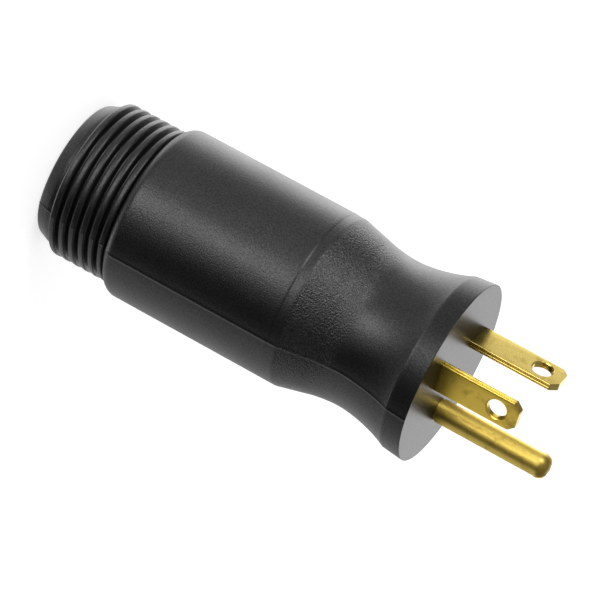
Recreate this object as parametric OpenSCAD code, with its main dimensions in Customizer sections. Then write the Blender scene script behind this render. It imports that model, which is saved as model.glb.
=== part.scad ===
// Straight moulded power adapter plug: three brass prongs in front, a ridged collar round a
// locking receptacle behind. It stands on its rear rim, with +Z along its axis to the prongs,
// +X from the upright blade to the flat one and +Y away from the earth pin.

/* [Housing] */
// Length of the moulded housing, rear rim to front face
body_len = 81.4; // [72:0.1:100]
// Radius of the barrel
barrel_r = 17.45; // [17:0.05:20]
// Outer radius of the rear rim
rear_rim_r = 13.55; // [13:0.05:14.2]
// Radius of the plain lip where the ridges start
lip_r = 14.55; // [14.3:0.05:14.6]
// Length of the plain lip
lip_len = 3.1; // [2:0.1:6]
// Length of the lip's straight part before the ridges
lip_flat = 0.6; // [0.2:0.1:1]
// Height of the conical shoulder behind the barrel
shoulder_h = 2.2; // [1.5:0.1:4]
// Radius of the shoulder at its foot
shoulder_r = 15.75; // [15.2:0.05:16.5]
// Length of the narrow land in front of the barrel
land_len = 2; // [1:0.1:5]
// Depth of the step from barrel to land
land_step = 0.08; // [0.05:0.01:0.3]
// Radius of the waist of the finger grip
waist_r = 15.12; // [14.8:0.02:16]
// Distance of the waist behind the front face
waist_set = 15.5; // [15:0.1:20]
// Radius of the hollow behind the waist
grip_rear_arc = 24; // [15:0.5:40]
// Slope of the grip's rear cone against the axis, degrees
grip_slope = 13.5; // [11:0.5:20]
// Radius of the hollow in front of the waist
grip_front_arc = 25.5; // [22:0.5:30]
// Radius of the crease where the front rim starts
rim_root_r = 17.75; // [17.2:0.05:18]
// Radius of the front face
face_r = 18.2; // [18.1:0.05:20]
// Rounding of the rim edges
edge_round = 0.4; // [0.2:0.05:0.8]

/* [Collar ridges] */
// Crest radius of the ridges
thread_r = 15.88; // [15.5:0.02:16.5]
// Root radius of the grooves
thread_root_r = 14.65; // [14.4:0.05:15]
// Pitch of the ridges
thread_pitch = 2.165; // [1.8:0.005:3]
// Number of ridges
ridges = 6; // [4:1:7]
// Width of a groove at the crest
groove_w = 1.1; // [0.8:0.05:1.3]
// Width of a groove at its floor
groove_floor_w = 0.6; // [0.3:0.05:0.7]

/* [Prongs] */
// Width of a blade
blade_w = 6.35; // [5:0.05:7]
// Thickness of a folded blade
blade_t = 1.5; // [1.2:0.05:2]
// Protrusion of the upright line blade
line_out = 16.4; // [12:0.1:20]
// Protrusion of the flat neutral blade
neutral_out = 17.9; // [12:0.1:20]
// Distance between the centres of the two blades
blade_gap = 15.6; // [13:0.1:16]
// Distance of the line blade from the axis
line_set = 6.05; // [5:0.05:7.5]
// Height of the blades above the axis
blade_rise = 2.93; // [2:0.01:4]
// Diameter of the hole through a blade
blade_hole_d = 3.96; // [3:0.02:4.2]
// Distance of the hole from the blade's tip
blade_hole_set = 4.35; // [3.6:0.05:6]
// Chamfer of a blade's tip corners
tip_chamfer = 1.5; // [0.5:0.1:2.2]
// Length of the coined bevel at a blade's tip
tip_bevel = 1.3; // [0.5:0.1:2]
// Depth of the coined bevel on each wide side
tip_bevel_depth = 0.4; // [0.1:0.05:0.5]
// Depth of the seam between a blade's two folded layers
seam_depth = 0.35; // [0.1:0.05:0.6]
// Width of that seam
seam_w = 0.2; // [0.1:0.05:0.4]
// Diameter of the earth pin
pin_d = 4.7; // [4.2:0.05:4.9]
// Step in from the earth pin to its thinner shank inside the housing
shank_step = 0.45; // [0.3:0.05:0.8]
// Protrusion of the earth pin
pin_out = 23.5; // [18:0.1:26]
// Distance of the earth pin below the blades
pin_drop = 11.9; // [11:0.05:12.4]
// Sideways place of the earth pin
pin_side = 0.3; // [-0.5:0.05:0.5]

/* [Bridge and leads] */
// Thickness of the soft front skin over the bridge
skin_t = 4.4; // [3:0.1:6]
// Radius of the hard bridge that holds the prongs
bridge_r = 13.6; // [13.4:0.05:14]
// Length of the bridge
bridge_len = 9; // [6:0.1:9.5]
// Length of a crimp barrel
crimp_len = 7; // [5:0.1:9]
// Thickness of the closed end of a crimp barrel
crimp_wall = 1; // [0.5:0.1:2]
// Outer diameter of a lead and its crimps
lead_d = 4; // [3.4:0.1:4.4]
// Diameter of the copper strand
strand_d = 2.4; // [1.8:0.1:2.8]
// Shift of the line blade's crimp along the blade's width, away from the earth pin
line_crimp_shift = 2.7; // [2.6:0.05:3]
// Shift of the neutral blade's crimp along the blade's width, towards the axis
neutral_crimp_shift = 1.3; // [0.8:0.05:1.6]

/* [Receptacle] */
// Radius of the receptacle insert
insert_r = 11.3; // [11.2:0.05:12]
// Depth of the receptacle face below the rear rim
face_recess = 1; // [0.4:0.1:3]
// Thickness of the receptacle face
recept_face_t = 6; // [4:0.1:8]
// Length of the contact carrier behind the face
carrier_len = 17; // [15:0.1:19]
// Floor thickness of the contact carrier
carrier_floor = 5; // [3:0.1:6]
// Radius of the circle of curved slots
contact_r = 8.6; // [8.4:0.05:8.8]
// Width of a curved slot
slot_w = 2; // [1.4:0.1:2.4]
// Arc of a curved slot, degrees
slot_arc = 54; // [40:1:58]
// Length of the key at the end of the earth slot
key_len = 2.2; // [1.5:0.1:3]
// Width of a contact pocket
pocket_w = 3.2; // [3:0.1:3.4]
// Wall thickness of a contact
contact_t = 0.6; // [0.4:0.05:0.7]
// Clearance of a contact in its pocket
contact_gap = 0.1; // [0.05:0.01:0.2]
// Depth of the contact leaves behind the receptacle face
leaf_set = 1; // [0.5:0.1:2]
// Spare arc at each end of a contact pocket, degrees
pocket_end = 2; // [1:0.5:4]
// Diameter of a contact's tail
tail_d = 2.2; // [1.6:0.1:2.3]

/* [Hidden] */
$fn = 96;
// Overshoot of a cutter beyond the solid it cuts
over = 1;
// Steps of each of the finger grip's two arcs
grip_steps = 16;
// Steps of the earth pin's dome
dome_steps = 12;

// Heights along the axis
shoulder_z = lip_len + ridges * thread_pitch;
barrel_z = shoulder_z + shoulder_h;
waist_z = body_len - waist_set;
land_r = barrel_r - land_step;
cone_z = waist_z - grip_rear_arc * sin(grip_slope);
cone_r = waist_r + grip_rear_arc * (1 - cos(grip_slope));
grip_z = cone_z - (land_r - cone_r) / tan(grip_slope);
land_z = grip_z - land_len;
rim_angle = acos((waist_r + grip_front_arc - rim_root_r) / grip_front_arc);
bridge_z1 = body_len - skin_t;
bridge_z0 = bridge_z1 - bridge_len;
carrier_z0 = face_recess + recept_face_t;
carrier_z1 = carrier_z0 + carrier_len;
pocket_z1 = carrier_z1 - carrier_floor;
crimp_depth = crimp_len - crimp_wall;
lead_z0 = carrier_z1 + crimp_len;
lead_z1 = bridge_z0 - crimp_len;
shank_r = pin_d / 2 - shank_step;

// Places of the prongs and of the contacts behind them
line_xy = [-line_set, blade_rise];
neutral_xy = [blade_gap - line_set, blade_rise];
pin_xy = [pin_side, blade_rise - pin_drop];
earth_angle = atan2(pin_xy.y, pin_xy.x);
neutral_angle = earth_angle + 120;
line_angle = earth_angle + 240;
contact_angles = [earth_angle, neutral_angle, line_angle];
line_lead = line_xy + [0, line_crimp_shift];
neutral_lead = neutral_xy - [neutral_crimp_shift, 0];
leads = [line_lead, neutral_lead, pin_xy];

// Colours as the photograph shows them, and the usual ones for what it hides
black = [0.09, 0.09, 0.09];
brass = [0.80, 0.69, 0.36];
copper = [0.72, 0.45, 0.28];
bridge_white = [0.85, 0.84, 0.80];
wire_black = [0.12, 0.12, 0.12];
wire_white = [0.92, 0.92, 0.90];
wire_green = [0.16, 0.48, 0.24];

// Points of an arc about c
function arc(c, r, a0, a1, n = 6) = [
    for (i = [0:n]) let (a = a0 + (a1 - a0) * i / n) c + r * [cos(a), sin(a)]
];

// Crest and groove of one ridge that starts at height z
function ridge(z) = let (crest = thread_pitch - groove_w, flank = (groove_w - groove_floor_w) / 2) [
    [thread_r, z],
    [thread_r, z + crest],
    [thread_root_r, z + crest + flank],
    [thread_root_r, z + crest + flank + groove_floor_w]
];

// Half section of the housing, from the rear rim to the front face
module housing_section() {
    polygon(concat(
        [[0, 0]],
        arc([rear_rim_r - edge_round, edge_round], edge_round, -90, 0),
        [[lip_r, lip_len - lip_flat], [lip_r, lip_len]],
        [for (i = [0:ridges - 1]) each ridge(lip_len + i * thread_pitch)],
        [[shoulder_r, shoulder_z]],
        arc([barrel_r - shoulder_h, barrel_z], shoulder_h, -45, 0),
        [[barrel_r, land_z], [land_r, land_z], [land_r, grip_z]],
        arc([waist_r + grip_rear_arc, waist_z], grip_rear_arc, 180 + grip_slope, 180, grip_steps),
        arc([waist_r + grip_front_arc, waist_z], grip_front_arc, 180, 180 - rim_angle, grip_steps),
        arc([face_r - edge_round, body_len - edge_round], edge_round, 0, 90),
        [[0, body_len]]
    ));
}

// Outline of a folded blade's wide side, from the bridge to a tip out mm beyond the face
module blade_wide(out) {
    tip = body_len + out;
    w = blade_w / 2;
    polygon([
        [-w, bridge_z0], [w, bridge_z0], [w, tip - tip_chamfer], [w - tip_chamfer, tip],
        [tip_chamfer - w, tip], [-w, tip - tip_chamfer]
    ]);
}

// Outline of a folded blade's narrow side
module blade_narrow(out) {
    tip = body_len + out;
    t = blade_t / 2;
    lip = t - tip_bevel_depth;
    polygon([[-t, bridge_z0], [t, bridge_z0], [t, tip - tip_bevel], [lip, tip], [-lip, tip], [-t, tip - tip_bevel]]);
}

// Crimp barrel behind the bridge, open to the rear
module prong_crimp(place) {
    difference() {
        rod(lead_d, place, lead_z1, bridge_z0);
        rod(strand_d, place, lead_z1 - over, lead_z1 + crimp_depth);
    }
}

// Folded blade on the Z axis with its width along X and its crimp shifted that way
module blade(out, crimp_shift) {
    prong_crimp([crimp_shift, 0]);
    difference() {
        intersection() {
            rotate([90, 0, 0])
                linear_extrude(blade_t, center = true)
                    blade_wide(out);
            rotate([90, 0, 90])
                linear_extrude(blade_w, center = true)
                    blade_narrow(out);
        }
        translate([0, 0, body_len + out - blade_hole_set])
            rotate([90, 0, 0])
                cylinder(h = blade_t + 2 * over, d = blade_hole_d, center = true);
        for (side = [-1, 1])
            translate([side * blade_w / 2, 0, body_len + out / 2])
                cube([2 * seam_depth, seam_w, out + 2 * over], center = true);
    }
}

// Slot that a blade fills in the bridge and the front skin
module blade_slot(z0) {
    translate([-blade_w / 2, -blade_t / 2, z0])
        cube([blade_w, blade_t, body_len - z0 + over]);
}

// Upright rod of diameter d at a place, from z0 to z1
module rod(d, place, z0, z1) {
    translate([place.x, place.y, z0])
        cylinder(h = z1 - z0, d = d);
}

// Copper strand from crimp to crimp
module strand(place) {
    rod(strand_d, place, lead_z0 - crimp_depth, lead_z1 + crimp_depth);
}

// Insulation between the crimps
module insulation(place) {
    difference() {
        rod(lead_d, place, lead_z0, lead_z1);
        rod(strand_d, place, lead_z0 - over, lead_z1 + over);
    }
}

// Curved block of the given width and arc about the axis, centred on an angle
module curved_block(angle, arc_deg, w, z0, z1) {
    rotate([0, 0, angle - arc_deg / 2])
        rotate_extrude(angle = arc_deg)
            translate([contact_r - w / 2, z0])
                square([w, z1 - z0]);
}

// Two-leaf contact centred on an angle, with its tail and crimp on the lead
module contact(angle, place) {
    w = pocket_w - 2 * contact_gap;
    difference() {
        curved_block(angle, slot_arc, w, carrier_z0 + leaf_set, pocket_z1);
        curved_block(angle, slot_arc + 2, w - 2 * contact_t, carrier_z0, pocket_z1 - contact_t);
    }
    rod(tail_d, place, pocket_z1 - contact_t / 2, carrier_z1 + crimp_wall / 2);
    difference() {
        rod(lead_d, place, carrier_z1, lead_z0);
        rod(strand_d, place, lead_z0 - crimp_depth, lead_z0 + over);
    }
}

// One-piece soft moulding, filled round everything inside it
module moulded_body() {
    color(black)
        difference() {
            rotate_extrude()
                housing_section();
            translate([0, 0, -over])
                cylinder(h = carrier_z1 + over, r = insert_r);
            for (place = leads)
                rod(lead_d, place, carrier_z1 - over, bridge_z0 + over);
            translate([0, 0, bridge_z0])
                cylinder(h = bridge_len, r = bridge_r);
            prong_slots(bridge_z1 - over);
        }
}

// Openings for the three prongs from height z0 to beyond the front face
module prong_slots(z0) {
    translate(line_xy)
        rotate([0, 0, 90])
            blade_slot(z0);
    translate(neutral_xy)
        blade_slot(z0);
    translate([pin_xy.x, pin_xy.y, z0])
        cylinder(h = body_len - z0 + over, r = shank_r);
}

// Hard disc that holds the prongs
module blade_bridge() {
    color(bridge_white)
        difference() {
            translate([0, 0, bridge_z0])
                cylinder(h = bridge_len, r = bridge_r);
            prong_slots(bridge_z0 - over);
        }
}

module line_blade() {
    color(brass)
        translate(line_xy)
            rotate([0, 0, 90])
                blade(line_out, line_crimp_shift);
}

module neutral_blade() {
    color(brass)
        translate(neutral_xy)
            blade(neutral_out, -neutral_crimp_shift);
}

// Round earth pin with a domed tip
module earth_pin() {
    tip = body_len + pin_out;
    color(brass)
        translate(pin_xy) {
            prong_crimp([0, 0]);
            rotate_extrude()
                polygon(concat(
                    [[0, bridge_z0], [shank_r, bridge_z0], [shank_r, body_len], [pin_d / 2, body_len]],
                    arc([0, tip - pin_d / 2], pin_d / 2, 0, 90, dome_steps)
                ));
        }
}

module line_strand() {
    color(copper)
        strand(line_lead);
}

module neutral_strand() {
    color(copper)
        strand(neutral_lead);
}

module earth_strand() {
    color(copper)
        strand(pin_xy);
}

module line_insulation() {
    color(wire_black)
        insulation(line_lead);
}

module neutral_insulation() {
    color(wire_white)
        insulation(neutral_lead);
}

module earth_insulation() {
    color(wire_green)
        insulation(pin_xy);
}

// Receptacle face with three curved slots, the earth slot with a key
module receptacle_face() {
    key_angle = earth_angle + slot_arc / 2;
    color(black)
        difference() {
            translate([0, 0, face_recess])
                cylinder(h = recept_face_t, r = insert_r);
            for (angle = contact_angles)
                curved_block(angle, slot_arc, slot_w, face_recess - over, carrier_z0 + over);
            rotate([0, 0, key_angle])
                translate([contact_r - slot_w / 2 - key_len, -slot_w, face_recess - over])
                    cube([key_len + slot_w / 2, slot_w, recept_face_t + 2 * over]);
        }
}

// Carrier behind the face with a pocket for each contact
module contact_carrier() {
    color(black)
        difference() {
            translate([0, 0, carrier_z0])
                cylinder(h = carrier_len, r = insert_r);
            for (angle = contact_angles)
                curved_block(angle, slot_arc + 2 * pocket_end, pocket_w, carrier_z0 - over, pocket_z1);
            for (place = leads)
                rod(tail_d, place, pocket_z1, carrier_z1 + over);
        }
}

module line_contact() {
    color(brass)
        contact(line_angle, line_lead);
}

module neutral_contact() {
    color(brass)
        contact(neutral_angle, neutral_lead);
}

module earth_contact() {
    color(brass)
        contact(earth_angle, pin_xy);
}

moulded_body();
blade_bridge();
line_blade();
neutral_blade();
earth_pin();
line_strand();
neutral_strand();
earth_strand();
line_insulation();
neutral_insulation();
earth_insulation();
receptacle_face();
contact_carrier();
line_contact();
neutral_contact();
earth_contact();
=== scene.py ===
import math

import bmesh
import bpy
from bpy.props import FloatProperty, FloatVectorProperty, IntProperty, PointerProperty
from mathutils import Matrix, Vector


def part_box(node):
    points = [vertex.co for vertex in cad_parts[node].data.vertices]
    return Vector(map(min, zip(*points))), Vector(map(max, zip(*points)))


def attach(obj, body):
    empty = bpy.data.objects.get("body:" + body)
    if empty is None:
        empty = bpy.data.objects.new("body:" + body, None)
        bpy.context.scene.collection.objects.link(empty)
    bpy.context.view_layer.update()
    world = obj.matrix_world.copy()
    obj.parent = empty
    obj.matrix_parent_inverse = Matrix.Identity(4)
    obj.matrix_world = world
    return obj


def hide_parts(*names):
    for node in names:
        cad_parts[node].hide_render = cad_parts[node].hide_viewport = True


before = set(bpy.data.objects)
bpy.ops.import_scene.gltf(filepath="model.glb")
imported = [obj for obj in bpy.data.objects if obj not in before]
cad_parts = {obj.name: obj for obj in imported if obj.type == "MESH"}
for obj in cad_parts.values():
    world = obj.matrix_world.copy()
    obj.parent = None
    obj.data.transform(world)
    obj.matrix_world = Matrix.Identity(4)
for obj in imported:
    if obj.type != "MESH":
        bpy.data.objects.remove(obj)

bl_info = {
    "name": "Moulded Adapter Plug",
    "version": (1, 0, 0),
    "blender": (4, 5, 0),
    "location": "View3D > Sidebar > Plug",
    "description": "Soft moulded housing, folded brass prongs, inner parts and stage of an adapter plug",
    "category": "Object",
}

MM = 0.001
MERGE_DISTANCE = 0.001 * MM
CUT_DISTANCE = 0.0005 * MM
SHARP_ANGLE = math.radians(32)
CRIMP_RADIUS, CRIMP_BORE, CRIMP_WALL = 2 * MM, 1.2 * MM, 1 * MM
UP = (0, 0, 1)

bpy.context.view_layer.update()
HOUSING_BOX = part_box("moulded_body")
LINE_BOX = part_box("line_blade")
NEUTRAL_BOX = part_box("neutral_blade")
PIN_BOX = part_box("earth_pin")
BRIDGE_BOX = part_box("blade_bridge")
RECEPTACLE_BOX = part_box("receptacle_face")
CARRIER_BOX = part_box("contact_carrier")


def linear(hex_colour):
    """An sRGB hex value as linear RGBA."""
    parts = [int(hex_colour[i:i + 2], 16) / 255 for i in (1, 3, 5)]
    return [c / 12.92 if c <= 0.04045 else ((c + 0.055) / 1.055) ** 2.4 for c in parts] + [1.0]


def length(name, description, millimetres):
    """A length property whose default is given in millimetres."""
    return FloatProperty(
        name=name, description=description, default=millimetres * MM, unit="LENGTH", precision=5)


def colour(name, description, hex_colour):
    """A colour property whose default is an sRGB hex value."""
    return FloatVectorProperty(
        name=name, description=description, subtype="COLOR", size=4, min=0, max=1,
        default=linear(hex_colour))


class PlugHousingSettings(bpy.types.PropertyGroup):
    """Sizes and colour of the soft moulded housing."""
    steps: IntProperty(
        name="Steps", description="Facets round the axis", default=360, min=48, max=720)
    lip_radius: length("Lip radius", "Radius of the rear lip behind the ridges", 14.55)
    rim_radius: length("Rear rim radius", "Radius of the flat rear rim", 13.55)
    ridges: IntProperty(
        name="Ridges", description="Number of ridges on the collar", default=6, min=1, max=12)
    crest_radius: length("Crest radius", "Radius over the ridges", 15.88)
    crown: length("Crown", "How far a ridge's middle stands above its edges", 0.1)
    root_radius: length("Root radius", "Radius at the bottom of the grooves", 14.65)
    pitch: length("Pitch", "Distance between two ridges", 2.165)
    groove_width: length("Groove width", "Width of a groove at the ridges' edges", 0.95)
    groove_floor: length("Groove floor", "Width of a groove at its bottom", 0.3)
    crest_height: length("Crest height", "Height of the first ridge's middle", 4.25)
    mismatch: length(
        "Mismatch", "How far the lower mould half's ridges stand forward of the upper one's", 0.36)
    shoulder_height: length("Shoulder height", "Height of the shoulder's lower edge", 16.15)
    shoulder_radius: length("Shoulder radius", "Radius of the shoulder's lower edge", 15.85)
    barrel_radius: length("Barrel radius", "Radius of the plain barrel", 17.45)
    barrel_height: length("Barrel height", "Height at which the shoulder reaches the barrel", 18.35)
    land_height: length("Land height", "Height of the small step at the end of the barrel", 51.67)
    land_step: length("Land step", "Depth of that step", 0.08)
    grip_height: length("Grip height", "Height at which the finger grip starts", 53.67)
    waist_radius: length("Waist radius", "Smallest radius of the finger grip", 15.12)
    waist_height: length("Waist height", "Height of the grip's smallest radius", 65.9)
    grip_slope: FloatProperty(
        name="Grip slope", description="Slope of the grip's rear side",
        default=math.radians(13.5), subtype="ANGLE")
    grip_rear_arc: length("Grip rear arc", "Radius of the arc from the slope to the waist", 24)
    grip_front_arc: length("Grip front arc", "Radius of the arc from the waist to the rim", 25.5)
    rim_root_radius: length("Rim root radius", "Radius of the crease behind the front rim", 17.75)
    parting_rise: length(
        "Parting rise", "How far the two mould halves stand proud where they meet", 0.6)
    flash: length("Flash", "Height of the fine ridge on the parting line", 0.13)
    tint: colour("Housing colour", "Colour of the soft plastic", "#0f0f10")


class PlugProngSettings(bpy.types.PropertyGroup):
    """Sizes and colours of the brass prongs."""
    blade_width: length("Blade width", "Width of a folded blade", 6.35)
    blade_thickness: length("Blade thickness", "Thickness of a folded blade", 1.5)
    fold_round: length("Fold round", "How far the edges of the two layers round off", 0.35)
    seam_depth: length(
        "Seam depth", "Depth of the seam between the two layers at a narrow edge", 0.5)
    tip_chamfer: length("Tip chamfer", "Chamfer of a blade's tip corners", 1.5)
    tip_bevel: length("Tip bevel", "Width of the coined bevel round a blade's tip", 0.6)
    tip_bevel_depth: length(
        "Tip bevel depth", "Depth of the coined bevel on each wide side", 0.35)
    hole_diameter: length("Hole diameter", "Diameter of the hole through a blade", 3.96)
    hole_set: length("Hole distance", "Distance of the hole from the blade's tip", 4.35)
    line_x: length("Line blade place", "Place of the upright blade along X", -6.05)
    neutral_x: length("Neutral blade place", "Place of the flat blade along X", 9.55)
    rise: length("Blade rise", "Height of both blades above the axis", 2.93)
    pin_x: length("Pin place", "Place of the earth pin along X", 0.3)
    pin_y: length("Pin drop", "Place of the earth pin along Y", -8.97)
    pin_diameter: length("Pin diameter", "Diameter of the earth pin", 4.7)
    burr: length("Burr", "Height of the burr on either side of the pin's dome", 0.36)
    burr_azimuth: FloatProperty(
        name="Burr azimuth", description="Direction of the burrs from the pin's axis",
        default=math.radians(52.5), subtype="ANGLE")
    tint: colour("Brass colour", "Colour of the handled brass", "#d6be69")
    worn_tint: colour("Worn brass colour", "Colour of the more worn upright blade", "#e6c656")
    pin_tint: colour("Pin colour", "Colour of the drawn brass pin", "#d8bd5e")
    stain: colour("Stain colour", "Colour of the handling stains on the brass", "#8a6f2c")


class PlugInnerSettings(bpy.types.PropertyGroup):
    """Colours of the parts inside the housing."""
    bridge: colour("Bridge colour", "Colour of the hard disc that holds the prongs", "#e4e0d4")
    copper: colour("Copper colour", "Colour of the strands", "#c8875c")
    tarnish: colour("Tarnish colour", "Colour of the strands' tarnish", "#7d4a30")
    line: colour("Line sleeve colour", "Colour of the line lead's sleeve", "#202020")
    neutral: colour("Neutral sleeve colour", "Colour of the neutral lead's sleeve", "#eeece4")
    earth: colour("Earth sleeve colour", "Colour of the earth lead's sleeve", "#2d7d44")
    receptacle: colour("Receptacle colour", "Colour of the hard rear receptacle", "#1e1e20")


class PlugStageSettings(bpy.types.PropertyGroup):
    """Camera, light and floor."""
    lens: FloatProperty(
        name="Lens", description="Focal length on a 36 mm sensor", default=222.6, unit="CAMERA")
    camera_place: FloatVectorProperty(
        name="Camera place", description="Where the camera stands",
        default=(-0.52293, 0.40343, 0.22522), subtype="TRANSLATION")
    camera_turn: FloatVectorProperty(
        name="Camera turn", description="How the camera is turned",
        default=[math.radians(a) for a in (-60.993, -58.049, 27.028)], subtype="EULER")
    walls: FloatProperty(
        name="Walls", description="Light from the white walls round the plug", default=0.8)
    gap: FloatProperty(
        name="Gap", description="Light from the dark gap on the near side", default=0.05)
    far: FloatProperty(
        name="Far wall", description="Extra light from the far wall", default=2.2)
    softbox: FloatProperty(
        name="Softbox", description="Extra light from the softbox", default=4.2)
    lamp: FloatProperty(
        name="Lamp", description="Extra light from the lamp above the prongs", default=8.0)
    rear: FloatProperty(
        name="Rear wall", description="Extra light from behind the collar", default=2.2)
    front: FloatProperty(
        name="Table front", description="Extra light from the table before the face", default=1.55)
    ceiling: FloatProperty(
        name="Ceiling", description="Extra light from above the prongs", default=0.28)
    glow: FloatProperty(
        name="Floor glow", description="Light the floor adds towards the camera, to be white unshaded",
        default=0.72)
    paper: colour("Floor colour", "Colour of the floor", "#f4f4f4")


def add(tree, kind, inputs=(), **settings):
    """Add one node with its settings, and feed its inputs with values or other nodes' outputs."""
    node = tree.nodes.new(kind)
    for name, value in settings.items():
        setattr(node, name, value)
    for name, value in dict(inputs).items():
        if isinstance(value, bpy.types.NodeSocket):
            tree.links.new(value, node.inputs[name])
        else:
            node.inputs[name].default_value = value
    return node


def new_material(name):
    """A node material with no nodes yet, and its tree."""
    material = bpy.data.materials.new(name)
    material.use_nodes = True
    material.node_tree.nodes.clear()
    return material, material.node_tree


def soft_pvc_moulded(tint):
    """Soft PVC, injection moulded against a sparked tool: black with a satin gloss.

    The barrel has a fine even texture, the finger grip a coarser leathery grain, and the front face
    is smooth, so it mirrors the prongs softly at a low angle."""
    # heights between which the grip's grain comes in and fades out, the rim starts and the face starts
    grain_in, grain_out = (53.4 * MM, 54.2 * MM), (63 * MM, 66 * MM)
    rim_in, face_in = (77.3 * MM, 77.7 * MM), (81.2 * MM, 81.38 * MM)
    # across one pit of the tool's texture, one cell of the grip's grain and one slow flow mark
    texture_size, grain_size, flow_size = 0.26 * MM, 0.32 * MM, 9 * MM

    material, tree = new_material("soft_pvc_moulded")
    place = add(tree, "ShaderNodeTexCoord").outputs["Object"]
    height = add(tree, "ShaderNodeSeparateXYZ", {"Vector": place}).outputs["Z"]
    grip_in = add(tree, "ShaderNodeMapRange", {
        "Value": height, "From Min": grain_in[0], "From Max": grain_in[1]},
        interpolation_type="SMOOTHSTEP")
    grip_out = add(tree, "ShaderNodeMapRange", {
        "Value": height, "From Min": grain_out[0], "From Max": grain_out[1],
        "To Min": 1.0, "To Max": 0.0}, interpolation_type="SMOOTHSTEP")
    grip = add(tree, "ShaderNodeMath", {
        0: grip_in.outputs["Result"], 1: grip_out.outputs["Result"]},
        operation="MULTIPLY").outputs["Value"]
    front = add(tree, "ShaderNodeMapRange", {
        "Value": height, "From Min": face_in[0], "From Max": face_in[1]}).outputs["Result"]
    texture = add(tree, "ShaderNodeTexNoise", {
        "Vector": place, "Scale": 1 / texture_size, "Detail": 2.0})
    grain = add(tree, "ShaderNodeTexNoise", {
        "Vector": place, "Scale": 1 / grain_size, "Detail": 2.0})
    flow = add(tree, "ShaderNodeTexNoise", {
        "Vector": place, "Scale": 1 / flow_size, "Detail": 4.0})

    dull = add(tree, "ShaderNodeMapRange", {
        "Value": flow.outputs["Fac"], "From Min": 0.3, "From Max": 0.7,
        "To Min": 0.31, "To Max": 0.37})
    rough = add(tree, "ShaderNodeMix", {
        "Factor": front, "A": dull.outputs["Result"], "B": 0.34}, data_type="FLOAT")
    fade = add(tree, "ShaderNodeMapRange", {"Value": front, "To Min": 0.6, "To Max": 0.1})
    fine = add(tree, "ShaderNodeBump", {
        "Strength": fade.outputs["Result"], "Distance": 0.07 * MM,
        "Height": texture.outputs["Fac"]})
    leather = add(tree, "ShaderNodeBump", {
        "Strength": grip, "Distance": 0.14 * MM, "Height": grain.outputs["Fac"],
        "Normal": fine.outputs["Normal"]})
    shade = add(tree, "ShaderNodeMapRange", {
        "Value": flow.outputs["Fac"], "From Min": 0.3, "From Max": 0.7,
        "To Min": 0.85, "To Max": 1.15})
    base = add(tree, "ShaderNodeMix", {
        "Factor": 1.0, "A": tint, "B": shade.outputs["Result"]},
        data_type="RGBA", blend_type="MULTIPLY")
    # the rim was cut in a smoother part of the tool, and reflects less of the soft light
    rim = add(tree, "ShaderNodeMapRange", {
        "Value": height, "From Min": rim_in[0], "From Max": rim_in[1],
        "To Min": 0.5, "To Max": 0.33})
    gloss = add(tree, "ShaderNodeMix", {
        "Factor": front, "A": rim.outputs["Result"], "B": 0.5}, data_type="FLOAT")
    # the grip's open grain takes more of the light, and pits of the tool dull the sheen in specks
    lift = add(tree, "ShaderNodeMath", {
        0: grip, 1: 0.12, 2: gloss.outputs["Result"]}, operation="MULTIPLY_ADD")
    speck = add(tree, "ShaderNodeMapRange", {
        "Value": grain.outputs["Fac"], "From Min": 0.35, "From Max": 0.65,
        "To Min": 0.78, "To Max": 1.2})
    sheen = add(tree, "ShaderNodeMath", {
        0: lift.outputs["Value"], 1: speck.outputs["Result"]}, operation="MULTIPLY")
    shader = add(tree, "ShaderNodeBsdfPrincipled", {
        "Base Color": base.outputs["Result"], "Roughness": rough.outputs["Result"], "IOR": 1.52,
        "Specular IOR Level": sheen.outputs["Value"], "Normal": leather.outputs["Normal"]})
    add(tree, "ShaderNodeOutputMaterial", {"Surface": shader.outputs["BSDF"]})
    return material


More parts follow.
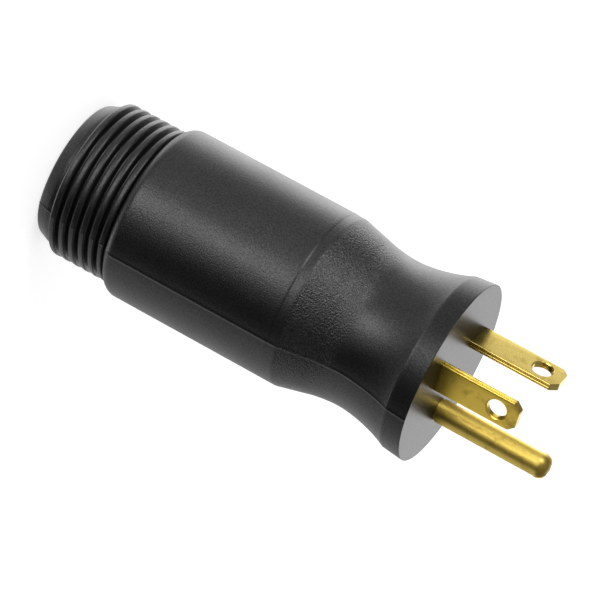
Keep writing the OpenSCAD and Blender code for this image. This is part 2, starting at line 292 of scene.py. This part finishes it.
def rolled_metal(name, tint, stain, roughness=0.25, tip=1.0):
    """Brass or copper, rolled to strip or drawn to rod: a satin mirror with fine lines and stains.

    The lines run along it, and the brass darkens towards the stain colour in the last 2 mm below the
    tip. A tip that isn't given is far out of reach, so the stains are even."""
    # rolling lines are about 0.02 mm apart, drawn at 0.12 mm so that they show
    line_size, stain_size, stretch = 0.12 * MM, 2.2 * MM, 0.02
    material, tree = new_material(name)
    place = add(tree, "ShaderNodeTexCoord").outputs["Object"]
    along = add(tree, "ShaderNodeMapping", {"Vector": place, "Scale": (1.0, 1.0, stretch)})
    lines = add(tree, "ShaderNodeTexNoise", {
        "Vector": along.outputs["Vector"], "Scale": 1 / line_size, "Detail": 2.0})
    blot = add(tree, "ShaderNodeTexNoise", {
        "Vector": place, "Scale": 1 / stain_size, "Detail": 3.0, "Roughness": 0.6})
    height = add(tree, "ShaderNodeSeparateXYZ", {"Vector": place}).outputs["Z"]
    # the last 2 mm below the tip darken towards the stain colour
    worn = add(tree, "ShaderNodeMapRange", {
        "Value": height, "From Min": tip - 2.2 * MM, "From Max": tip - 0.4 * MM, "To Max": 0.2})
    dense = add(tree, "ShaderNodeMath", {
        0: blot.outputs["Fac"], 1: worn.outputs["Result"]}, operation="ADD")
    stained = add(tree, "ShaderNodeMapRange", {
        "Value": dense.outputs["Value"], "From Min": 0.52, "From Max": 0.78, "To Max": 0.6})
    base = add(tree, "ShaderNodeMix", {
        "Factor": stained.outputs["Result"], "A": tint, "B": stain}, data_type="RGBA")
    rough = add(tree, "ShaderNodeMapRange", {
        "Value": lines.outputs["Fac"], "From Min": 0.3, "From Max": 0.7,
        "To Min": roughness - 0.02, "To Max": roughness + 0.02})
    bump = add(tree, "ShaderNodeBump", {
        "Strength": 0.03, "Distance": 0.01 * MM, "Height": lines.outputs["Fac"]})
    shader = add(tree, "ShaderNodeBsdfPrincipled", {
        "Base Color": base.outputs["Result"], "Metallic": 1.0,
        "Roughness": rough.outputs["Result"], "Normal": bump.outputs["Normal"]})
    add(tree, "ShaderNodeOutputMaterial", {"Surface": shader.outputs["BSDF"]})
    return material


def hard_plastic_moulded(name, tint, roughness):
    """Nylon or PVC, moulded or extruded: an even colour, faint clouding and a fine satin texture."""
    texture_size, cloud_size = 0.3 * MM, 6 * MM
    material, tree = new_material(name)
    place = add(tree, "ShaderNodeTexCoord").outputs["Object"]
    texture = add(tree, "ShaderNodeTexNoise", {
        "Vector": place, "Scale": 1 / texture_size, "Detail": 2.0})
    cloud = add(tree, "ShaderNodeTexNoise", {
        "Vector": place, "Scale": 1 / cloud_size, "Detail": 2.0})
    shade = add(tree, "ShaderNodeMapRange", {
        "Value": cloud.outputs["Fac"], "From Min": 0.3, "From Max": 0.7,
        "To Min": 0.9, "To Max": 1.05})
    base = add(tree, "ShaderNodeMix", {
        "Factor": 1.0, "A": tint, "B": shade.outputs["Result"]},
        data_type="RGBA", blend_type="MULTIPLY")
    bump = add(tree, "ShaderNodeBump", {
        "Strength": 0.25, "Distance": 0.02 * MM, "Height": texture.outputs["Fac"]})
    shader = add(tree, "ShaderNodeBsdfPrincipled", {
        "Base Color": base.outputs["Result"], "Roughness": roughness, "IOR": 1.53,
        "Normal": bump.outputs["Normal"]})
    add(tree, "ShaderNodeOutputMaterial", {"Surface": shader.outputs["BSDF"]})
    return material


def clamped(value):
    """The value, held between 0 and 1."""
    return min(max(value, 0), 1)


def rounded_section(points):
    """A half section as a wire in the XZ plane, each corner rounded by its own cut-back distance.

    A point is (radius, height, cut-back, segments)."""
    bm = bmesh.new()
    verts = [bm.verts.new((point[0], 0, point[1])) for point in points]
    for pair in zip(verts, verts[1:]):
        bm.edges.new(pair)
    for vert, point in zip(verts, points):
        cut_back, segments = point[2:]
        if cut_back:
            bmesh.ops.bevel(
                bm, geom=[vert], offset=cut_back, offset_type="OFFSET", segments=segments,
                profile=0.5, affect="VERTICES", material=-1)
    return bm


def lathe(points, steps):
    """A closed turn of a rounded half section about the Z axis."""
    bm = rounded_section(points)
    bmesh.ops.spin(
        bm, geom=bm.verts[:] + bm.edges[:], cent=(0, 0, 0), axis=UP, angle=math.tau, steps=steps,
        use_merge=True)
    bmesh.ops.remove_doubles(bm, verts=bm.verts, dist=MERGE_DISTANCE)
    return bm


def cut_off(bm, place, out):
    """Cut away what lies beyond a plane, and close the cut."""
    bmesh.ops.bisect_plane(
        bm, geom=bm.verts[:] + bm.edges[:] + bm.faces[:], dist=CUT_DISTANCE, plane_co=place,
        plane_no=out, clear_outer=True)
    bmesh.ops.holes_fill(bm, edges=[e for e in bm.edges if e.is_boundary], sides=0)


def take_in(bm, other):
    """Move all of another bmesh into bm."""
    mesh = bpy.data.meshes.new("taken")
    other.to_mesh(mesh)
    other.free()
    bm.from_mesh(mesh)
    bpy.data.meshes.remove(mesh)


def put_in_scene(name, bm):
    """Turn a bmesh into an object of the scene."""
    mesh = bpy.data.meshes.new(name)
    bm.to_mesh(mesh)
    bm.free()
    item = bpy.data.objects.new(name, mesh)
    bpy.context.scene.collection.objects.link(item)
    return item


def finished_piece(name, bm, material, slot, *nodes):
    """Turn a closed bmesh into a named piece that rides the plug and stands for CAD nodes."""
    bmesh.ops.remove_doubles(bm, verts=bm.verts, dist=MERGE_DISTANCE)
    bmesh.ops.recalc_face_normals(bm, faces=bm.faces)
    open_edges = [e for e in bm.edges if not e.is_manifold]
    if open_edges:
        first = open_edges[0].verts[0].co[:]
        raise RuntimeError(f"{name} has {len(open_edges)} open edges, the first at {first}")
    for face in bm.faces:
        face.smooth = True
    for edge in bm.edges:
        edge.smooth = edge.calc_face_angle(0) < SHARP_ANGLE
    piece = put_in_scene(name, bm)
    piece.data.materials.append(material)
    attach(piece, "root")
    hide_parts(*nodes)
    return piece


def collar_ridges(s):
    """The section's points over the collar's ridges, from the rear forward."""
    crest, flank = s.pitch - s.groove_width, (s.groove_width - s.groove_floor) / 2
    root_round, edge_round, crown_round = 0.14 * MM, 0.27 * MM, 0.26 * MM
    points = []
    for turn in range(s.ridges):
        middle = s.crest_height + turn * s.pitch
        points += [
            (s.root_radius, middle - crest / 2 - flank, root_round, 2),
            (s.crest_radius - s.crown, middle - crest / 2, edge_round, 4),
            (s.crest_radius, middle, crown_round, 2),
            (s.crest_radius - s.crown, middle + crest / 2, edge_round, 4),
            (s.root_radius, middle + crest / 2 + flank, root_round, 2),
        ]
    return points


def housing_section(s):
    """The housing's half section, from the pocket's floor round the outside to the front face.

    The points with no rounding keep the shading of the long faces even up to their ends."""
    face_radius, top = HOUSING_BOX[1].x, HOUSING_BOX[1].z
    pocket_radius, pocket_floor = RECEPTACLE_BOX[1].x, CARRIER_BOX[1].z
    lip_height, shoulder_round, end = 2.5 * MM, 1.25 * MM, 0.5 * MM
    land_radius, land_ramp = s.barrel_radius - s.land_step, 0.3 * MM
    # the corner where the grip's slope would meet the waist, and the one between waist and rim
    rear_cut = s.grip_rear_arc * math.tan(s.grip_slope / 2)
    slope_end = s.grip_height + (land_radius - s.waist_radius) / math.tan(s.grip_slope)
    rim_angle = math.acos(
        (s.waist_radius + s.grip_front_arc - s.rim_root_radius) / s.grip_front_arc)
    front_cut = s.grip_front_arc * math.tan(rim_angle / 2)
    crease_height = s.waist_height + s.grip_front_arc * math.sin(rim_angle)
    rim_flare = (face_radius - s.rim_root_radius) / (top - crease_height)
    rim_end, face_end = 0.35 * MM, 0.4 * MM
    return [
        (0, pocket_floor, 0, 0),
        (pocket_radius, pocket_floor, 0, 0),
        (pocket_radius, 0, 0.25 * MM, 3),
        (s.rim_radius, 0, 0.4 * MM, 4),
        (s.lip_radius, lip_height, 0.3 * MM, 3),
        *collar_ridges(s),
        (s.shoulder_radius, s.shoulder_height, 0.05 * MM, 2),
        (s.barrel_radius, s.barrel_height - shoulder_round, shoulder_round, 12),
        (s.barrel_radius, s.barrel_height + end, 0, 0),
        (s.barrel_radius, s.land_height - end, 0, 0),
        (s.barrel_radius, s.land_height, 0.12 * MM, 2),
        (land_radius, s.land_height + land_ramp, 0.12 * MM, 2),
        (land_radius, s.grip_height - end, 0, 0),
        (land_radius, s.grip_height, 0.25 * MM, 4),
        (s.waist_radius, slope_end, rear_cut, 24),
        (s.waist_radius, s.waist_height + front_cut, front_cut * 0.98, 32),
        (s.rim_root_radius, crease_height, 0.25 * MM, 4),
        (face_radius - rim_flare * rim_end, top - rim_end, 0, 0),
        (face_radius, top, 0.12 * MM, 3),
        (face_radius - face_end, top, 0, 0),
        (0, top, 0, 0),
    ]


def part_the_mould(bm, s):
    """Give the turned housing the marks of its two mould halves, which meet in the XZ plane.

    Each half's section is a little lens-shaped, with flash between the two that is worn down on the
    ridges. The lower half's ridges stand a little forward, and the land's step runs out towards it."""
    outside = RECEPTACLE_BOX[1].x + 0.5 * MM
    even, on_line, drift = 0.79, 0.0005, 0.7
    collar_start, collar_in, collar_out = 3 * MM, 0.25 * MM, 3.5 * MM
    flash_wear, land_fade, land_margin = 0.7, 6 * MM, 0.5 * MM
    for vert in bm.verts:
        radius = math.hypot(vert.co.x, vert.co.y)
        if radius <= outside:
            continue
        across = abs(vert.co.y) / radius
        lower = clamped(0.5 - vert.co.y / radius / drift)
        ridged = clamped((vert.co.z - collar_start) / collar_in)
        ridged *= clamped((s.shoulder_height - vert.co.z) / collar_out)
        wider = s.parting_rise * (even - across)
        if across < on_line:
            wider += s.flash * (1 - flash_wear * ridged)
        if vert.co.z > s.land_height - land_margin:
            fade = clamped(1 - (vert.co.z - s.grip_height) / land_fade)
            wider += min(s.barrel_radius - radius, s.land_step) * lower * fade
        vert.co.xy *= 1 + wider / radius
        vert.co.z += s.mismatch * lower * ridged


class PLUG_OT_housing(bpy.types.Operator):
    """Make the soft moulded housing: ridged collar, barrel, finger grip and front rim"""
    bl_idname = "plug.housing"
    bl_label = "Moulded housing"

    def execute(self, context):
        s = context.scene.plug_housing
        bm = lathe(housing_section(s), s.steps)
        part_the_mould(bm, s)
        finished_piece("soft_housing", bm, soft_pvc_moulded(s.tint), "housing", "moulded_body")
        return {"FINISHED"}


def crimp_section(bottom, top):
    """The section's points of the crimp behind a prong, from its bore's end to its outer rim."""
    return [
        (0, top - CRIMP_WALL, 0, 0),
        (CRIMP_BORE, top - CRIMP_WALL, 0, 0),
        (CRIMP_BORE, bottom, 0.1 * MM, 2),
        (CRIMP_RADIUS, bottom, 0.2 * MM, 3),
    ]


def crimp_barrel(x, bottom, top):
    """The crimp behind a blade, open to the rear and sunk a little into the bridge."""
    sunk = 0.2 * MM
    bm = lathe([
        *crimp_section(bottom, top),
        (CRIMP_RADIUS, top + sunk, 0.2 * MM, 3),
        (0, top + sunk, 0, 0),
    ], 48)
    bmesh.ops.translate(bm, verts=bm.verts, vec=(x, 0, 0))
    return bm


def folded_blade(s, base, tip):
    """A blade of two folded layers on the Z axis, its width along X, with the seam between them."""
    w, t = s.blade_width / 2, s.blade_thickness / 2
    seam_mouth, lip_round = 0.03 * MM, 0.35 * MM
    # a quarter of the section: half the wide side, one layer's rounded edge and the seam under it
    bm = rounded_section([
        (0, t, 0, 0), (w, t, s.fold_round, 6), (w, seam_mouth, lip_round, 6),
        (w - s.seam_depth, 0, 0, 0)])
    bmesh.ops.rotate(
        bm, verts=bm.verts, cent=(0, 0, 0), matrix=Matrix.Rotation(math.pi / 2, 3, "X"))
    bmesh.ops.translate(bm, verts=bm.verts, vec=(0, 0, base))
    for axis in "YX":
        bmesh.ops.mirror(
            bm, geom=bm.verts[:] + bm.edges[:], axis=axis, merge_dist=MERGE_DISTANCE)
    bmesh.ops.remove_doubles(bm, verts=bm.verts, dist=MERGE_DISTANCE)
    face = bmesh.ops.contextual_create(bm, geom=bm.edges[:])["faces"]
    grown = bmesh.ops.extrude_face_region(bm, geom=face)["geom"]
    bmesh.ops.translate(
        bm, verts=[g for g in grown if isinstance(g, bmesh.types.BMVert)], vec=(0, 0, tip - base))
    # the tip: two cut corners, then a coined bevel along all three edges on each wide side
    corner = w - s.tip_chamfer
    edges = [(Vector((0, 0, tip)), Vector(UP))]
    for side in (-1, 1):
        edges.append((Vector((side * corner, 0, tip)), Vector((side, 0, 1)).normalized()))
    cuts = edges[1:]
    for place, out in edges:
        for side in (-1, 1):
            wide = Vector((0, side, 0))
            cuts.append((
                place - out * s.tip_bevel + wide * t,
                out * s.tip_bevel_depth + wide * s.tip_bevel))
    for place, out in cuts:
        cut_off(bm, place, out)
    return bm


def punched(blade, s, tip):
    """The blade with its hole punched along Y, the hole's edges rolled in on both wide sides."""
    r, t = s.hole_diameter / 2, s.blade_thickness / 2
    roll, roll_depth, roll_round, clear = 0.22 * MM, 0.2 * MM, 0.08 * MM, 1 * MM
    punch = lathe([
        (0, -t - clear, 0, 0),
        (r + clear, -t - clear, 0, 0),
        (r + roll, -t, 0, 0),
        (r, -t + roll_depth, roll_round, 3),
        (r, t - roll_depth, roll_round, 3),
        (r + roll, t, 0, 0),
        (r + clear, t + clear, 0, 0),
        (0, t + clear, 0, 0),
    ], 64)
    bmesh.ops.rotate(
        punch, verts=punch.verts, cent=(0, 0, 0), matrix=Matrix.Rotation(math.pi / 2, 3, "X"))
    bmesh.ops.translate(punch, verts=punch.verts, vec=(0, 0, tip - s.hole_set))
    pair = []
    for bm in (blade, punch):
        bmesh.ops.recalc_face_normals(bm, faces=bm.faces)
        pair.append(put_in_scene("punching", bm))
    cut = pair[0].modifiers.new("hole", "BOOLEAN")
    cut.operation, cut.solver, cut.object = "DIFFERENCE", "EXACT", pair[1]
    bm = bmesh.new()
    bm.from_object(pair[0], bpy.context.evaluated_depsgraph_get())
    for spare in pair:
        mesh = spare.data
        bpy.data.objects.remove(spare)
        bpy.data.meshes.remove(mesh)
    return bm


class PLUG_OT_blades(bpy.types.Operator):
    """Make the two folded brass blades with their holes and crimps"""
    bl_idname = "plug.blades"
    bl_label = "Folded blades"

    def execute(self, context):
        s = context.scene.plug_prongs
        bridge_low, crimp_low = BRIDGE_BOX[0].z, LINE_BOX[0].z
        worn = rolled_metal("worn_rolled_brass", s.worn_tint, s.stain, 0.33, LINE_BOX[1].z)
        handled = rolled_metal("rolled_brass", s.tint, s.stain)
        # name, CAD node, its box, place along X, turn in degrees, the crimp's shift, brass
        blades = (
            ("folded_line_blade", "line_blade", LINE_BOX, s.line_x, 92, 2.7 * MM, worn),
            ("folded_neutral_blade", "neutral_blade", NEUTRAL_BOX, s.neutral_x, 0, -1.3 * MM,
             handled),
        )
        for name, node, box, x, turn, shift, brass in blades:
            tip = box[1].z
            bm = punched(folded_blade(s, bridge_low, tip), s, tip)
            take_in(bm, crimp_barrel(shift, crimp_low, bridge_low))
            place = Matrix.Translation((x, s.rise, 0)) @ Matrix.Rotation(math.radians(turn), 4, "Z")
            bmesh.ops.transform(bm, verts=bm.verts, matrix=place)
            finished_piece(name, bm, brass, "prongs", node)
        return {"FINISHED"}


class PLUG_OT_earth_pin(bpy.types.Operator):
    """Make the round brass earth pin with its domed tip and crimp"""
    bl_idname = "plug.earth_pin"
    bl_label = "Earth pin"

    def execute(self, context):
        s = context.scene.plug_prongs
        low, tip, radius = PIN_BOX[0].z, PIN_BOX[1].z, s.pin_diameter / 2
        bridge_low, face = BRIDGE_BOX[0].z, HOUSING_BOX[1].z
        # the pin is thinner inside the housing, and a fine ring shows where it leaves the face
        neck, ring = radius - 0.45 * MM, radius - 0.2 * MM
        bm = lathe([
            *crimp_section(low, bridge_low),
            (CRIMP_RADIUS, bridge_low, 0, 0),
            (neck, bridge_low + 0.05 * MM, 0, 0),
            (neck, face, 0, 0),
            (ring, face, 0, 0),
            (ring, face + 0.3 * MM, 0, 0),
            (radius, face + 0.4 * MM, 0, 0),
            (radius, tip, radius * 0.96, 16),
            (0, tip, 0, 0),
        ], 96)
        # the two dies that formed the dome left a thin burr on either side: a slice of a larger dome
        foot, inside, half_width = tip - 2.3 * MM, tip - 0.05 * MM, 0.1 * MM
        burr = lathe([
            (0, foot, 0, 0),
            (radius, foot, 0, 0),
            (radius + s.burr * 0.4, tip - 1.65 * MM, 0.3 * MM, 3),
            (radius * 0.72 + s.burr * 0.7, tip - 0.66 * MM + s.burr * 0.7, 0.5 * MM, 5),
            (radius * 0.46, tip - 0.13 * MM, 0.2 * MM, 3),
            (radius * 0.2, inside, 0, 0),
            (0, inside, 0, 0),
        ], 96)
        across = Vector((-math.sin(s.burr_azimuth), math.cos(s.burr_azimuth), 0))
        for side in (-1, 1):
            cut_off(burr, across * side * half_width, across * side)
        take_in(bm, burr)
        bmesh.ops.translate(bm, verts=bm.verts, vec=(s.pin_x, s.pin_y, 0))
        brass = rolled_metal("drawn_brass", s.pin_tint, s.stain, 0.45, tip)
        finished_piece("domed_earth_pin", bm, brass, "prongs", "earth_pin")
        return {"FINISHED"}


class PLUG_OT_inner_parts(bpy.types.Operator):
    """Give the bridge, leads, receptacle and contacts their materials"""
    bl_idname = "plug.inner_parts"
    bl_label = "Inner parts"

    def execute(self, context):
        s = context.scene.plug_inner
        p = context.scene.plug_prongs
        finishes = (
            (hard_plastic_moulded("white_nylon_moulded", s.bridge, 0.4), ["blade_bridge"]),
            (rolled_metal("drawn_copper", s.copper, s.tarnish),
             ["line_strand", "neutral_strand", "earth_strand"]),
            (hard_plastic_moulded("black_pvc_extruded", s.line, 0.4), ["line_insulation"]),
            (hard_plastic_moulded("white_pvc_extruded", s.neutral, 0.4), ["neutral_insulation"]),
            (hard_plastic_moulded("green_pvc_extruded", s.earth, 0.4), ["earth_insulation"]),
            (hard_plastic_moulded("black_nylon_moulded", s.receptacle, 0.45),
             ["receptacle_face", "contact_carrier"]),
            (rolled_metal("stamped_brass", p.tint, p.stain),
             ["line_contact", "neutral_contact", "earth_contact"]),
        )
        for material, nodes in finishes:
            for node in nodes:
                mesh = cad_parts[node].data
                mesh.materials.clear()
                mesh.materials.append(material)
        return {"FINISHED"}


def upright_panel(azimuth, sides, rise, edge):
    """The soft steps that bound a panel standing upright at one azimuth of the room.

    The panel reaches from one offset to the other across its azimuth, and from one height to the other."""
    turn, ends = math.radians(azimuth), 0.08
    across, out = (-math.sin(turn), math.cos(turn), 0), (math.cos(turn), math.sin(turn), 0)
    return [
        (across, sides[0] - edge, sides[0] + edge),
        (across, sides[1] + edge, sides[1] - edge),
        (out, 0, 0.1),
        (UP, rise[0] - ends, rise[0] + ends),
        (UP, rise[1] + ends, rise[1] - ends),
    ]


def studio_room(s):
    """The parts of the room round the plug: the light of each, and the soft steps that bound it.

    A step is a direction with its start and end along it, then the levels there if they aren't 0 and 1."""
    far_side, along = (-0.515, 0.857, 0), (0.857, 0.515, 0)
    slant, before_face = (-0.47, 0.84, 0.25), (0.764, -0.592, 0.257)
    low = (UP, -0.75, -0.3, 0.62, 1.0)
    dusk = (UP, 0.02, 0.22, 1.0, 0.2)
    walls = [low, dusk, (UP, -0.1, 0.25, 1.0, 0.25), (far_side, -1.0, -0.9, 0.8, 1.0)]
    far = [
        low, dusk, (UP, -0.15, 0.2, 1.0, 0.35),
        (slant, 0.0, -0.12), (slant, -1.0, -0.45), (along, 0.2, 0.7)]
    return (
        (s.walls, walls),
        # in the dark gap the walls' light gives way to the gap's own
        (s.gap - s.walls, walls + upright_panel(190, (-0.44, 0.42), (-0.95, 0.9), 0.08)),
        (s.far, far),
        (s.softbox, upright_panel(133, (-0.17, 0.17), (-0.62, -0.05), 0.05)),
        (s.lamp, upright_panel(101, (-0.19, 0.19), (0.05, 0.45), 0.05)),
        (s.rear, [((0, 0, -1), 0.72, 0.92), (far_side, -0.35, 0.05, 1.0, 0.2)]),
        (s.front, [(before_face, 0.84, 0.95)]),
        (s.ceiling, [(UP, 0.4, 0.6)]),
    )


class PLUG_OT_stage(bpy.types.Operator):
    """Set the floor, the soft studio light and the camera"""
    bl_idname = "plug.stage"
    bl_label = "Stage"

    def execute(self, context):
        s = context.scene.plug_stage
        scene = context.scene
        scene.view_settings.view_transform = "Standard"

        bm = bmesh.new()
        bmesh.ops.create_grid(bm, x_segments=1, y_segments=1, size=1.5)
        floor = put_in_scene("paper_floor", bm)
        floor.visible_glossy = False
        floor.visible_diffuse = False
        floor.visible_shadow = False
        material, tree = new_material("white_paper")
        seen = add(tree, "ShaderNodeLightPath").outputs["Is Camera Ray"]
        lit = add(tree, "ShaderNodeBsdfDiffuse", {"Color": s.paper})
        glow = add(tree, "ShaderNodeMath", {0: seen, 1: s.glow}, operation="MULTIPLY")
        bright = add(tree, "ShaderNodeEmission", {
            "Color": (1, 1, 1, 1), "Strength": glow.outputs["Value"]})
        mixed = add(tree, "ShaderNodeAddShader", {
            0: lit.outputs["BSDF"], 1: bright.outputs["Emission"]})
        add(tree, "ShaderNodeOutputMaterial", {"Surface": mixed.outputs["Shader"]})
        floor.data.materials.append(material)

        world = bpy.data.worlds.new("studio")
        scene.world = world
        world.use_nodes = True
        tree = world.node_tree
        tree.nodes.clear()
        way = add(tree, "ShaderNodeTexCoord").outputs["Generated"]
        total = 0.0
        for part, steps in studio_room(s):
            for direction, start, end, *levels in steps:
                at_start, at_end = levels or (0.0, 1.0)
                reach = add(tree, "ShaderNodeVectorMath", {
                    0: way, 1: direction}, operation="DOT_PRODUCT")
                step = add(tree, "ShaderNodeMapRange", {
                    "Value": reach.outputs["Value"], "From Min": start, "From Max": end,
                    "To Min": at_start, "To Max": at_end}, interpolation_type="SMOOTHSTEP")
                part = add(tree, "ShaderNodeMath", {
                    0: step.outputs["Result"], 1: part}, operation="MULTIPLY").outputs["Value"]
            total = add(tree, "ShaderNodeMath", {
                0: part, 1: total}, operation="ADD").outputs["Value"]
        seen = add(tree, "ShaderNodeLightPath").outputs["Is Camera Ray"]
        strength = add(tree, "ShaderNodeMix", {
            "Factor": seen, "A": total, "B": 1.0}, data_type="FLOAT")
        light = add(tree, "ShaderNodeBackground", {
            "Color": (1, 1, 1, 1), "Strength": strength.outputs["Result"]})
        add(tree, "ShaderNodeOutputWorld", {"Surface": light.outputs["Background"]})

        view = bpy.data.cameras.new("photo_camera")
        view.lens, view.sensor_width = s.lens, 36
        camera = bpy.data.objects.new("photo_camera", view)
        camera.location, camera.rotation_euler = s.camera_place, s.camera_turn
        scene.collection.objects.link(camera)
        scene.camera = camera
        return {"FINISHED"}


class PLUG_PT_panel(bpy.types.Panel):
    """Lists the plug's sizes, colours and building steps."""
    bl_idname = "PLUG_PT_panel"
    bl_label = "Moulded Plug"
    bl_space_type = "VIEW_3D"
    bl_region_type = "UI"
    bl_category = "Plug"

    def draw(self, context):
        for operator in OPERATORS:
            self.layout.operator(operator.bl_idname)
        for name, group in GROUPS.items():
            box = self.layout.box()
            for field in group.__annotations__:
                box.prop(getattr(context.scene, name), field)


GROUPS = {
    "plug_housing": PlugHousingSettings,
    "plug_prongs": PlugProngSettings,
    "plug_inner": PlugInnerSettings,
    "plug_stage": PlugStageSettings,
}
OPERATORS = (
    PLUG_OT_housing, PLUG_OT_blades, PLUG_OT_earth_pin, PLUG_OT_inner_parts, PLUG_OT_stage)


def register():
    for group in GROUPS.values():
        bpy.utils.register_class(group)
    for name, group in GROUPS.items():
        setattr(bpy.types.Scene, name, PointerProperty(type=group))
    for operator in OPERATORS:
        bpy.utils.register_class(operator)
    bpy.utils.register_class(PLUG_PT_panel)


def unregister():
    bpy.utils.unregister_class(PLUG_PT_panel)
    for operator in reversed(OPERATORS):
        bpy.utils.unregister_class(operator)
    for name in GROUPS:
        delattr(bpy.types.Scene, name)
    for group in reversed(GROUPS.values()):
        bpy.utils.unregister_class(group)


def main():
    register()
    bpy.ops.plug.housing()
    bpy.ops.plug.blades()
    bpy.ops.plug.earth_pin()
    bpy.ops.plug.inner_parts()
    bpy.ops.plug.stage()


if __name__ == "__main__":
    main()
